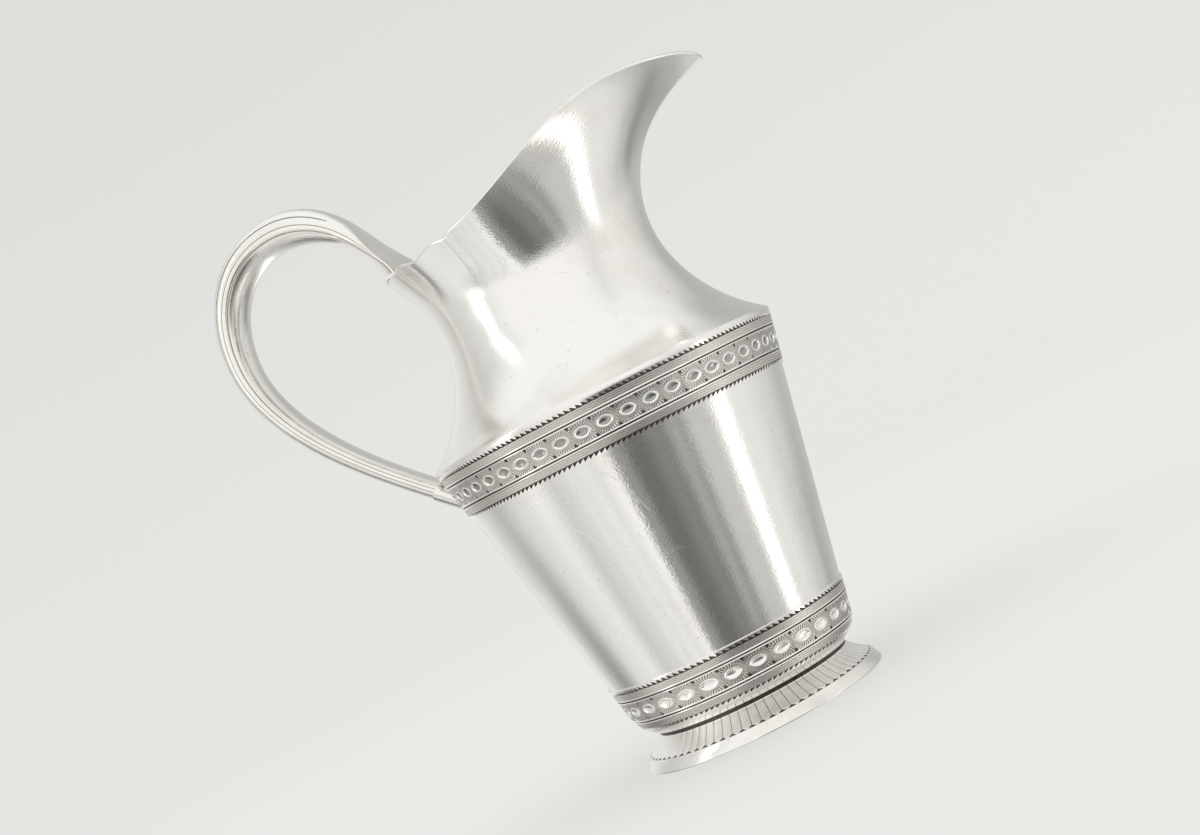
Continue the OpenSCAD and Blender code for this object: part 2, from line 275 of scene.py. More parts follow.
def makeRoom():
    world = bpy.data.worlds.new("studioRoom")
    bpy.context.scene.world = world
    world.use_nodes = True
    tree = world.node_tree
    tree.nodes.clear()
    look = wire(tree, "ShaderNodeTexCoord").outputs["Generated"]
    split = wire(tree, "ShaderNodeSeparateXYZ", Vector=look)
    angle = maths(tree, "ARCTAN2", split.outputs["Y"], split.outputs["X"])
    noise = wire(tree, "ShaderNodeTexNoise", Vector=look, Scale=room["wobbleScale"], Detail=2).outputs["Fac"]
    wobble = times(tree, maths(tree, "SUBTRACT", noise, 0.5), room["wobble"])
    compass = maths(tree, "FRACT", added(tree, maths(tree, "DIVIDE", angle, fullTurn), 1, wobble))

    def ringOf(panels):
        ring = wire(tree, "ShaderNodeValToRGB", Fac=compass)
        stops = ring.color_ramp.elements
        for n, (degrees, bright) in enumerate(panels):
            stop = stops[n] if n < 2 else stops.new(degrees / 360)
            stop.position = degrees / 360
            stop.color = [bright * share for share in room["tint"]] + [1]
        return ring.outputs["Color"]

    def plain(bright):
        return [bright * share for share in room["plainTint"]] + [1]

    def above(colour, other, heights):  # eases from the colour so far to another between two heights
        return mixed(tree, softStep(tree, split.outputs["Z"], *heights), colour, other)

    streaks = wire(tree, "ShaderNodeTexNoise", {"noise_dimensions": "1D"}, W=compass, Scale=room["streaks"], Detail=3)
    lift = added(tree, times(tree, streaks.outputs["Fac"], room["streakDepth"]), 1 - room["streakDepth"] / 2)
    colour = mixed(tree, 1, ringOf(room["panels"]), lift, "MULTIPLY")
    colour = above(colour, ringOf(room["upperPanels"]), room["upperFrom"])
    colour = above(colour, plain(room["sky"]), room["skyFrom"])
    colour = above(colour, plain(room["ground"]), room["groundFrom"])
    background = wire(tree, "ShaderNodeBackground", Color=colour)
    wire(tree, "ShaderNodeOutputWorld", Surface=background.outputs[0])


makeCamera()
makeSweep()
makeRoom()
for name, place in lamps["places"].items():
    makeLamp(name, place)
bpy.context.scene.view_settings.view_transform = "Standard"
print("camera and light ready")


# materials

def newGroup(name, inputs, outputs):
    group = bpy.data.node_groups.new(name, "ShaderNodeTree")
    for label, kind, value in inputs:
        socket = group.interface.new_socket(name=label, in_out="INPUT", socket_type=kind)
        if value is not None:
            socket.default_value = value
    for label, kind in outputs:
        group.interface.new_socket(name=label, in_out="OUTPUT", socket_type=kind)
    return group, group.nodes.new("NodeGroupInput"), group.nodes.new("NodeGroupOutput")


floatKind, colourKind, vectorKind = "NodeSocketFloat", "NodeSocketColor", "NodeSocketVector"


# noise scales are per metre; "from" pairs are where a noise starts to show and is full; depths are millimetres
wear = {"grainScale": 1500, "grain": 1.5, "patchScale": 24, "patchFrom": (0.46, 0.66), "speckScale": 900,
        "speckFrom": (0.66, 0.72), "specks": 0.9, "smearScale": 60, "smearFrom": (0.56, 0.75),
        "smearStretch": (5, 1, 1), "smearTurn": (0, 0.5, 0), "smears": 0.6,
        "hairScale": 2600, "hairStretch": (24, 1, 1), "hairTurns": [(0, 0.45, 0.1), (0, -0.7, 0.3), (0, 1.25, -0.2)],
        "hairDepth": 0.021, "hairRough": 0.05, "cutScale": 34, "cutStretch": (2, 1, 1), "cutTurn": (0.3, 0.9, 0.2),
        "cutFrom": (0.0022, 0.0006), "cutDepth": -0.02, "cutPatchScale": 70, "cutPatchFrom": (0.52, 0.62),
        "mottleScale": 45, "spotRough": 0.10, "dentScale": 75, "dentDepth": 0.035,
        "swellScale": 30, "swellDepth": 0.16}


def makeWearGroup():  # tarnish patches, faint dents and the fuzz of old polishing scratches
    group, given, made = newGroup("silverWear", [("Bright", colourKind, (0.93, 0.925, 0.905, 1)),
                                                 ("Dull", colourKind, (0.62, 0.59, 0.54, 1)),
                                                 ("Tarnish", floatKind, 0.4), ("Scratches", floatKind, 0.5),
                                                 ("Dents", floatKind, 0.35)],
                                  [("Color", colourKind), ("Roughness", floatKind), ("Height", floatKind)])
    place = wire(group, "ShaderNodeTexCoord").outputs["Object"]

    def noise(scale, detail, stretch=(1, 1, 1), turn=(0, 0, 0)):
        moved = wire(group, "ShaderNodeMapping", {"vector_type": "TEXTURE"}, Vector=place, Scale=stretch,
                     Rotation=turn).outputs[0]
        return wire(group, "ShaderNodeTexNoise", Vector=moved, Scale=scale, Detail=detail,
                    Roughness=0.6).outputs["Fac"]

    grain = times(group, noise(wear["grainScale"], 2), wear["grain"])
    patches = times(group, softStep(group, noise(wear["patchScale"], 7), *wear["patchFrom"]), grain)
    specks = softStep(group, noise(wear["speckScale"], 2), *wear["speckFrom"])
    smears = softStep(group, noise(wear["smearScale"], 4, wear["smearStretch"], wear["smearTurn"]),
                      *wear["smearFrom"])
    marks = added(group, patches, times(group, smears, wear["smears"]), times(group, specks, wear["specks"]))
    tarnish = maths(group, "MINIMUM", times(group, marks, given.outputs["Tarnish"]), 1.0)
    colour = mixed(group, tarnish, given.outputs["Bright"], given.outputs["Dull"])
    fuzz = added(group, *[noise(wear["hairScale"], 1, wear["hairStretch"], turn) for turn in wear["hairTurns"]])
    swirl = maths(group, "SUBTRACT", noise(wear["cutScale"], 2, wear["cutStretch"], wear["cutTurn"]), 0.5)
    cuts = times(group, softStep(group, maths(group, "ABSOLUTE", swirl), *wear["cutFrom"]),
                 softStep(group, noise(wear["cutPatchScale"], 2), *wear["cutPatchFrom"]))
    spots = added(group, tarnish, cuts, noise(wear["mottleScale"], 4))
    rough = added(group, times(group, fuzz, wear["hairRough"]), times(group, spots, wear["spotRough"]))
    dents = added(group, times(group, noise(wear["dentScale"], 2), wear["dentDepth"]),
                  times(group, noise(wear["swellScale"], 1), wear["swellDepth"]))
    scratches = added(group, times(group, fuzz, wear["hairDepth"]), times(group, cuts, wear["cutDepth"]))
    height = added(group, times(group, scratches, given.outputs["Scratches"]),
                   times(group, dents, given.outputs["Dents"]))
    group.links.new(colour, made.inputs["Color"])
    group.links.new(rough, made.inputs["Roughness"])
    group.links.new(height, made.inputs["Height"])
    return group


wearGroup = makeWearGroup()


def makeSilver(name, bright=(0.93, 0.925, 0.905, 1), dull=(0.60, 0.57, 0.52, 1), tarnish=0.35, scratches=0.6,
               dents=0.35, roughOffset=0.0, extra=None):
    material = bpy.data.materials.new(name)
    material.use_nodes = True
    tree = material.node_tree
    shader = tree.nodes["Principled BSDF"]
    shader.inputs["Metallic"].default_value = 1
    worn = wire(tree, "ShaderNodeGroup", {"node_tree": wearGroup}, Bright=bright, Dull=dull, Tarnish=tarnish,
                Scratches=scratches, Dents=dents)
    colour, height = worn.outputs["Color"], worn.outputs["Height"]
    rough = added(tree, worn.outputs["Roughness"], roughOffset)
    normal = wire(tree, "ShaderNodeBump", Height=height, Strength=1.0, Distance=mm).outputs["Normal"]
    if extra:
        colour, rough, normal = extra(tree, colour, rough, normal)
    tree.links.new(colour, shader.inputs["Base Color"])
    tree.links.new(rough, shader.inputs["Roughness"])
    tree.links.new(normal, shader.inputs["Normal"])
    return material


# all in millimetres on the flat tile, measured from the middle of an oval
turning = {"hatchPitch": 0.48, "slantPitch": 0.475, "slant": 0.6, "wavePitch": 1.9, "wave": 0.08,
           "rays": 34, "raySwirl": 2.4, "rayStretch": 1.6, "rayFrom": (2.1, 2.3), "friezeFrom": (2.5, 2.35),
           "borderFrom": (3.55, 3.65), "borderTo": (5.2, 5.1), "shadeFrom": (0.0, 0.7),
           "dark": (0.14, 0.125, 0.10, 1), "darkShare": 0.95, "rough": 0.2, "depth": 0.03, "strength": 0.5}


def makeTurningGroup():  # fine engine turning: wavy hatching on the borders, rays round each oval
    group, given, made = newGroup("engineTurning", [("Tile", vectorKind, None)],
                                  [("Lines", floatKind), ("Shade", floatKind)])
    split = wire(group, "ShaderNodeSeparateXYZ", Vector=given.outputs["Tile"])
    x, y = split.outputs["X"], split.outputs["Y"]
    far = maths(group, "ABSOLUTE", y)

    def ripple(value, share):
        return maths(group, "SINE", times(group, value, share))

    wave = times(group, ripple(x, fullTurn / turning["wavePitch"]), turning["wave"])
    hatch = ripple(added(group, far, wave), fullTurn / turning["hatchPitch"])
    slant = ripple(added(group, x, times(group, y, turning["slant"])), fullTurn / turning["slantPitch"])
    hatched = added(group, times(group, hatch, 0.5), times(group, slant, 0.5))
    tall = times(group, y, turning["rayStretch"])
    turn = maths(group, "ARCTAN2", tall, x)
    reach = maths(group, "SQRT", added(group, maths(group, "POWER", x, 2.0), maths(group, "POWER", tall, 2.0)))
    rays = maths(group, "SINE", added(group, times(group, turn, turning["rays"]),
                                      times(group, reach, turning["raySwirl"])))
    raysHere = times(group, rays, softStep(group, far, *turning["friezeFrom"]),
                     softStep(group, reach, *turning["rayFrom"]))
    onBorder = times(group, softStep(group, far, *turning["borderFrom"]), softStep(group, far, *turning["borderTo"]))
    lines = added(group, raysHere, times(group, hatched, onBorder))
    shade = softStep(group, times(group, lines, -1.0), *turning["shadeFrom"])
    group.links.new(lines, made.inputs["Lines"])
    group.links.new(shade, made.inputs["Shade"])
    return group


turningGroup = makeTurningGroup()
tileScale = 10  # millimetres of the flat tile to one unit of its map


def engraved(tree, colour, rough, normal):  # adds the engine turning to a silver
    flat = wire(tree, "ShaderNodeUVMap", {"uv_map": "tile"}).outputs["UV"]
    scaled = wire(tree, "ShaderNodeMapping", Vector=flat, Scale=[tileScale] * 3).outputs[0]
    turned = wire(tree, "ShaderNodeGroup", {"node_tree": turningGroup}, Tile=scaled)
    darker = mixed(tree, times(tree, turned.outputs["Shade"], turning["darkShare"]), colour, turning["dark"])
    rougher = added(tree, rough, times(tree, turned.outputs["Shade"], turning["rough"]))
    cut = wire(tree, "ShaderNodeBump", Height=turned.outputs["Lines"], Normal=normal, Strength=turning["strength"],
               Distance=turning["depth"] * mm)
    return darker, rougher, cut.outputs["Normal"]


polished = makeSilver("polishedSilver")
handled = makeSilver("handledSilver", tarnish=0.25, scratches=0.8, dents=0.3, roughOffset=0.02)
inner = makeSilver("innerSilver", bright=(0.84, 0.83, 0.80, 1), tarnish=0.6, scratches=0.8, dents=0.5,
                   roughOffset=0.16)
engravedSilver = makeSilver("engravedSilver", bright=(0.80, 0.785, 0.75, 1), tarnish=0.4, roughOffset=0.08,
                            dents=0.2, extra=engraved)
fluteSilver = makeSilver("fluteSilver", bright=(0.95, 0.945, 0.925, 1), scratches=0.3, dents=0.08,
                         roughOffset=0.25)
# painted reflection: a dark base colour stands in for the dark reflection in the middle of each concave oval bowl on
# the upper band
paintedReflectionSilver = makeSilver("paintedReflectionSilver", bright=(0.42, 0.42, 0.41, 1), dull=(0.2, 0.2, 0.19, 1), scratches=0.2,
                         dents=0.05)
seamSilver = makeSilver("seamSilver", bright=(0.46, 0.41, 0.31, 1), dull=(0.22, 0.18, 0.12, 1), roughOffset=0.15)
cutSilver = makeSilver("cutSilver", bright=(0.96, 0.955, 0.94, 1), tarnish=0.1, scratches=0.1, dents=0.05)
blackened = makeSilver("blackenedSilver", bright=(0.10, 0.09, 0.08, 1), dull=(0.03, 0.026, 0.022, 1), tarnish=0.8,
                       roughOffset=0.3)
print("materials ready")


# body

body = {"lowRadius": 28.9, "lowHeight": 14.0, "endRadius": 25.4, "wall": 0.7, "ledge": 3.4, "columns": 240,
        "rows": 12, "curveRows": 12, "innerShare": 0.8}
bodyLow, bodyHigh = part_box("body_wall")
bodyTopRadius, bodyTop, bodyEnd = bodyHigh.x / mm, bodyHigh.z / mm, bodyLow.z / mm
taper = (bodyTopRadius - body["lowRadius"]) / (bodyTop - body["lowHeight"])
slope = math.atan(taper)
curveX = body["lowRadius"] - body["endRadius"]
curveZ = body["lowHeight"] - bodyEnd
curveRadius = (curveX ** 2 + curveZ ** 2) / (2 * (curveX * math.cos(slope) - curveZ * math.sin(slope)))
curveCentre = Vector((body["lowRadius"] - curveRadius * math.cos(slope),
                      body["lowHeight"] + curveRadius * math.sin(slope)))


def sideRadius(z):
    return body["lowRadius"] + taper * (z - body["lowHeight"])


def bottomCurve(angle, inset):
    radius = curveRadius - inset
    return curveCentre + Vector((radius * math.cos(angle), -radius * math.sin(angle)))


def makeBody():
    wall = body["wall"]
    floor = bodyEnd + wall
    endAngle = math.asin((curveCentre.y - bodyEnd) / curveRadius)
    innerAngle = math.asin((curveCentre.y - floor) / (curveRadius - wall))
    steps, rows = body["curveRows"], body["rows"]
    levels = [blend(bodyTop, body["lowHeight"], k / rows) for k in range(rows)]
    outside = [(sideRadius(z), z) for z in levels] + [bottomCurve(blend(slope, endAngle, k / steps), 0)
                                                     for k in range(steps + 1)]
    ledge = body["endRadius"] - body["ledge"]
    inside = [bottomCurve(blend(innerAngle, slope, k / steps), wall) for k in range(steps + 1)]
    inside += [(sideRadius(z) - wall / math.cos(slope), z) for z in reversed(levels)]
    bm = turnProfile(outside + [(ledge, bodyEnd), (ledge, floor)] + inside, body["columns"])
    for f in bm.faces:
        middle = f.calc_center_median() / mm
        within = middle.z > floor and middle.xy.length < sideRadius(middle.z) - wall * body["innerShare"]
        if f.normal.xy.dot(middle.xy) < 0 or within:
            f.material_index = 1
    makePiece(bm, "body_shell", [polished, inner], ["body_wall"])


makeBody()


# neck, rim and spout

# angles are in degrees from the spout; pairs ending in Side and Spout blend as the spout spreads
neck = {"edgeRise": 0.9, "edgeBlunt": 0.12, "throatRadius": 28.3, "throatHeight": 29.5, "sideRadius": 35,
        "backRadius": 33.8, "reach": 56.9, "backHeight": 46, "crestRise": 16.5, "crestAngle": 25, "tipDrop": 3.4,
        "tipCurve": 2.5, "notch": 108.6, "notchWidth": 5, "overlap": 4, "wave": 0.6, "waveLength": 24,
        "waveFade": (29, 35), "wire": 0.5, "wall": 0.7, "beakSpread": 29, "beakBlunt": 6, "leanSide": 63,
        "leanSpout": 12, "armSide": 6, "armSpout": 14.6, "riseSide": 6, "riseSpout": 17,
        "shoulderArm": (7.2, 6.1), "throatArm": 11.5, "lowerRows": 22, "upperRows": 30, "columns": 360}
shoulder = Vector((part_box("neck_and_spout")[1].y / mm, bodyTop + neck["edgeRise"]))
throat = Vector((neck["throatRadius"], bodyTop + neck["throatHeight"]))
rimBack = bodyTop + neck["backHeight"]


def cosDeg(a):
    return math.cos(math.radians(a))


def beak(a):
    return math.exp((neck["beakBlunt"] - math.hypot(a, neck["beakBlunt"])) / neck["beakSpread"])


def rimRadius(a):
    t = ((1 - cosDeg(a)) / 2) ** 2
    radius = blend(neck["sideRadius"], neck["backRadius"], t)
    return radius + (neck["reach"] - radius) * beak(a) * (1 - t)


def rimHeight(a):  # down from the crest to a notch on each side, then waves that fade out towards the handle
    notch, wave, rise, crest = (neck[k] for k in ("notch", "wave", "crestRise", "crestAngle"))
    if a < crest:
        front = rimBack + rise - neck["tipDrop"] * (1 - a / crest) ** neck["tipCurve"]
    else:
        part = min(180, 180 * (a - crest) / (notch + neck["overlap"] - crest))
        front = rimBack + wave + (rise - wave) * (1 + cosDeg(part)) / 2
    past = a - notch
    waving = cosDeg(360 * (past - neck["notchWidth"]) / neck["waveLength"]) if past < neck["waveFade"][0] else 1
    behind = rimBack + wave * waving - wave * easeOver(past, neck["waveFade"])
    return blend(front, behind, easeOver(past, (-neck["notchWidth"], 0)))


def rimLean(a):
    return math.radians(blend(neck["leanSide"], neck["leanSpout"], beak(a)))


lowerCurve = [shoulder, Vector((throat.x, shoulder.y)) + Vector(neck["shoulderArm"]),
              throat - Vector((0, neck["throatArm"])), throat]


def upperCurve(a):
    tip, lean = Vector((rimRadius(a), rimHeight(a))), rimLean(a)
    rise = Vector((0, blend(neck["riseSide"], neck["riseSpout"], beak(a))))
    arm = Vector((math.cos(lean), math.sin(lean))) * blend(neck["armSide"], neck["armSpout"], beak(a))
    return [throat, throat + rise, tip - arm, tip]


def innerRim(a):  # from the rim's outer edge to its inner one
    lean = rimLean(a)
    along = Vector((math.cos(lean), math.sin(lean)))
    return Vector((-along.y, along.x)) * neck["wall"] - along * neck["wall"] * min(0.6, 1 / math.tan(lean))


def neckPoint(angle, n):  # number n of the section's points: up the outside, over the rim, down the inside
    a = abs(math.degrees(angle))
    lower, upper = neck["lowerRows"], neck["upperRows"]
    last = 2 + lower + upper
    if n <= 2:
        blunt = neck["edgeBlunt"]
        corner = [(0, bodyTop), (0, shoulder.y - blunt), (blunt, shoulder.y)][n]
        return standing((shoulder.x - corner[0], corner[1]), angle)
    outside = n <= last
    k = n - 2 if outside else 2 * last + 1 - n - 2
    if k <= 0:
        return standing((sideRadius(bodyTop) - neck["wall"] / math.cos(slope), bodyTop), angle)
    curve, t = (lowerCurve, k / lower) if k <= lower else (upperCurve(a), (k - lower) / upper)
    point = curveAt(curve, t)
    if not outside:
        along = curveAlong(curve, t)
        point = point + (innerRim(a) if k == lower + upper else Vector((-along.y, along.x)) * neck["wall"])
    return standing(point, angle)


def makeNeck():
    last = 2 + neck["lowerRows"] + neck["upperRows"]
    bm = turnSections(2 * last, neck["columns"], neckPoint)
    makePiece(bm, "neck_shell", [polished], ["neck_and_spout"], crease=50)


rimWire = {"points": 8, "overhang": 0.05, "fullness": 0.7}


def makeRimWire():
    count = rimWire["points"]

    def place(angle, n):
        a = abs(math.degrees(angle))
        outer, across = Vector((rimRadius(a), rimHeight(a))), innerRim(a)
        up = Vector((across.y, -across.x)).normalized() * neck["wire"]
        share = math.pi * n / (count - 1)
        side = across.normalized() * -rimWire["overhang"] * math.cos(share)
        over = across * (1 - math.cos(share)) / 2 + up * math.sin(share) ** rimWire["fullness"]
        return standing(outer + over + side, angle)

    makePiece(turnSections(count, neck["columns"], place), "rim_bead", [polished], ["rim_wire"],
                     crease=70)


makeNeck()
makeRimWire()


# engraved bands: one flat tile with its oval, borders and teeth, bent round the body and repeated

engravedFace, cutFace, blackFace, punchedFace, bowlFace = range(5)
tile = {"width": 5.7, "friezeHalf": 2.45, "half": 6.3, "field": -0.02, "bowlDrop": 0.03, "punch": (0.55, 0.95),
        "toothBase": 5.32, "toothTip": 6.2, "columns": 24, "close": 0.01,
        # rings from the bowl of the oval outwards: half width, half height, depth, finish, how pointed the ends are
        "rings": [(0.60, 0.32, -0.36, bowlFace, 0.4), (1.15, 0.62, -0.30, bowlFace, 0.4),
                  (1.56, 0.90, -0.20, bowlFace, 0.4), (1.80, 1.08, -0.04, cutFace, 0.4),
                  (1.92, 1.18, 0.07, cutFace, 0.35), (2.04, 1.27, 0.06, cutFace, 0.3),
                  (2.12, 1.34, -0.02, cutFace, 0.2), (2.58, 1.94, -0.02, engravedFace, 0),
                  (2.64, 2.0, -0.06, engravedFace, 0), (2.72, 2.08, -0.02, engravedFace, 0)],
        # rows from the frieze outwards: distance from the middle, depth, finish
        "rows": [(2.52, 0.04, cutFace), (2.66, 0.10, cutFace), (2.82, 0.06, cutFace), (2.90, -0.14, blackFace),
                 (3.04, -0.18, blackFace), (3.12, -0.06, blackFace), (3.18, 0.06, cutFace), (3.32, 0.11, cutFace),
                 (3.48, 0.06, cutFace), (3.55, 0.0, engravedFace), (5.18, -0.02, engravedFace),
                 (5.21, -0.08, blackFace), (5.27, -0.08, blackFace), (5.32, 0.0, cutFace), (6.2, 0.0, cutFace),
                 (6.3, 0.0, cutFace)]}
band = {"thick": 0.45, "upperOvals": 48, "lowerOvals": 30, "toothDepth": 0.22, "toothEdge": 0.05}
bandRadius = curveRadius + band["thick"]


def ovalPoint(a, wide, tall, depth, point):
    return Vector((wide * math.cos(a), tall * math.sin(a) * abs(math.sin(a)) ** point, depth))


def ovalAngle(co, wide, tall, point):
    y = co.y / tall
    return math.atan2(math.copysign(abs(y) ** (1 / (1 + point)), y), co.x / wide)


def frameCorner(co, wide, tall):  # where a vertex of the oval's outermost ring goes on the tile's frame
    columns = tile["columns"]
    n = round((math.atan2(co.y / tall, co.x / wide) / fullTurn - 0.25) * columns) % columns
    bottom = columns // 2
    k, side = (n, -1) if n <= bottom else (columns - n, 1)  # counted down one side from the top
    halfWidth, halfHeight = tile["width"] / 2, tile["friezeHalf"]
    inX, inY = tile["punch"]
    x = {0: 0, 1: halfWidth - inX, bottom - 1: halfWidth - inX, bottom: 0}.get(k, halfWidth)
    ends = {0: halfHeight, 1: halfHeight, bottom - 1: -halfHeight, bottom: -halfHeight}
    y = ends[k] if k in ends else (halfHeight - inY) * (bottom / 2 - k) / (bottom / 2 - 2)
    return Vector((side * x, y, tile["field"]))


def flatTile():
    bm = bmesh.new()
    rings = tile["rings"]
    wide, tall, deep, finish, point = rings[0]
    ring = bmesh.ops.create_circle(bm, cap_ends=True, segments=tile["columns"], radius=1)["verts"]
    for v in ring:
        v.co = ovalPoint(math.atan2(v.co.y, v.co.x), wide, tall, deep, point)
    centre = bmesh.ops.poke(bm, faces=bm.faces)["verts"][0]
    centre.co.z = deep - tile["bowlDrop"]
    finished = set()

    def finishNew(index):
        for f in bm.faces:
            if f not in finished:
                f.material_index = index
                finished.add(f)

    finishNew(finish)
    edges = openEdges(bm)
    for newWide, newTall, deep, finish, newPoint in rings[1:]:
        edges = stretchEdges(bm, edges, lambda co: ovalPoint(ovalAngle(co, wide, tall, point), newWide, newTall,
                                                             deep, newPoint))
        finishNew(finish)
        wide, tall, point = newWide, newTall, newPoint
    stretchEdges(bm, edges, lambda co: frameCorner(co, wide, tall))
    finishNew(engravedFace)
    halfWidth, halfHeight = tile["width"] / 2, tile["friezeHalf"]
    (inX, inY), close = tile["punch"], tile["close"]

    def near(x, y):
        return min(bm.verts, key=lambda v: (v.co.xy - Vector((x, y))).length)

    for sx in (-1, 1):  # half of a punched triangle in each corner
        for sy in (-1, 1):
            corner = bm.verts.new((sx * halfWidth, sy * halfHeight, tile["field"]))
            bm.faces.new((near(sx * (halfWidth - inX), sy * halfHeight), near(sx * halfWidth, sy * (halfHeight - inY)),
                          corner))
    finishNew(punchedFace)

    def nextColumn(x):
        return math.copysign(halfWidth / 2, x) if close < abs(x) < halfWidth - close else x

    for sy in (-1, 1):
        edges = [e for e in bm.edges if all(abs(v.co.y - sy * halfHeight) < close for v in e.verts)]
        for y, deep, finish in tile["rows"]:
            edges = stretchEdges(bm, edges, lambda co: Vector((nextColumn(co.x), sy * y, deep)))
            finishNew(finish)
    bmesh.ops.recalc_face_normals(bm, faces=bm.faces)
    for f in [f for f in bm.faces if tile["toothBase"] < abs(f.calc_center_median().y) < tile["toothTip"]]:
        base = sorted((v for v in f.verts if abs(v.co.y) < tile["toothBase"] + close), key=lambda v: v.co.x)
        tips = sorted((v for v in f.verts if abs(v.co.y) > tile["toothTip"] - close), key=lambda v: v.co.x)
        halves = [f, bmesh.utils.face_split(f, base[1], tips[0])[0]]
        for half in halves:
            half.material_index = punchedFace if base[0] in half.verts else cutFace
    uv = bm.loops.layers.uv.new("tile")
    for f in bm.faces:
        for loop in f.loops:
            loop[uv].uv = loop.vert.co.xy / tileScale
    return bm


upperMiddle = sum(corner.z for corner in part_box("upper_band")) / 2 / mm
lowerEnds = [corner.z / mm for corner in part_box("lower_band")]


def upperPath(y, out):  # on the taper under the shoulder
    z = upperMiddle + y * math.cos(slope)
    radius = sideRadius(z) + band["thick"]
    return Vector((radius + out * math.cos(slope), z - out * math.sin(slope)))


def lowerPath(y, out):  # down the taper and on round the bottom curve
    low, top = lowerEnds
    straight = (top - body["lowHeight"]) / math.cos(slope)
    endAngle = math.asin((curveCentre.y - low) / bandRadius)
    whole = straight + (endAngle - slope) * bandRadius
    along = (tile["half"] - y) / (2 * tile["half"]) * whole
    if along < straight:
        z = top - along * math.cos(slope)
        return Vector((sideRadius(z) + band["thick"] + out * math.cos(slope), z - out * math.sin(slope)))
    angle = slope + (along - straight) / bandRadius
    return bottomCurve(angle, -band["thick"] - out)


def makeBand(name, ovals, path, node, bowl):
    bm = flatTile()
    for v in bm.verts:
        angle = v.co.x / tile["width"] * fullTurn / ovals
        v.co = standing(path(v.co.y, v.co.z), angle)
    copiesRound(bm, ovals)
    seams = [e for e in bm.edges if len(e.link_faces) == 2
             and all(f.material_index == punchedFace for f in e.link_faces)]
    bmesh.ops.dissolve_edges(bm, edges=seams, use_verts=False)
    bmesh.ops.recalc_face_normals(bm, faces=bm.faces)
    somewhere = bm.faces[0]
    if somewhere.normal.xy.dot(somewhere.calc_center_median().xy) < 0:
        bmesh.ops.reverse_faces(bm, faces=bm.faces)
    punched = [f for f in bm.faces if f.material_index == punchedFace]
    sides = bmesh.ops.inset_individual(bm, faces=punched, thickness=band["toothEdge"] * mm,
                                       depth=-band["toothDepth"] * mm)["faces"]
    for f in sides:
        f.material_index = cutFace
    for end in (-1, 1):  # the plain edges and the back of the strip
        height = path(end * tile["half"], 0).y
        edges = [e for e in openEdges(bm) if all(abs(v.co.z / mm - height) < 2 * tile["close"] for v in e.verts)]
        behind = path(end * tile["half"], -band["thick"])
        stretchEdges(bm, edges, lambda co: standing(behind, math.atan2(co.y, co.x)))
    bmesh.ops.bridge_loops(bm, edges=openEdges(bm))
    makePiece(bm, name, [engravedSilver, cutSilver, blackened, blackened, bowl], [node], crease=28)


# the upper band's oval bowls carry the painted dark reflection
makeBand("upper_frieze", band["upperOvals"], upperPath, "upper_band", paintedReflectionSilver)
makeBand("lower_frieze", band["lowerOvals"], lowerPath, "lower_band", cutSilver)


# foot: fluted collar and plain rim

collar = {"flutes": 72, "step": 0.8, "neckHeight": 1.2, "neckShare": 0.14, "hollow": 0.35, "wall": 0.9, "sink": 0.02,
          "grooveDepth": 0.16, "grooveHalf": 0.11, "grooveSlope": 0.45, "panelDepths": (0, 0.02, 0.08),
          "sideShare": 0.85, "runLength": 7.1, "rows": 24, "roundEnd": 0.75, "endStep": 0.22, "darkEnd": 0.42}
collarLow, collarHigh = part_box("foot_collar")
collarTopRadius = body["endRadius"] - collar["step"]
collarBottomRadius, collarBottom, collarTop = collarHigh.x / mm, collarLow.z / mm, collarHigh.z / mm


def collarSurface(t):  # from the narrow top, t 0, down the flare to the foot rim, t 1
    flareTop, share = collarTop - collar["neckHeight"], collar["neckShare"]
    if t < share:
        return Vector((collarTopRadius, blend(collarTop, flareTop, t / share)))
    s = (t - share) / (1 - share)
    bulge = collar["hollow"] * math.sin(math.pi * s)
    return Vector((blend(collarTopRadius, collarBottomRadius, s) - bulge, blend(flareTop, collarBottom, s)))


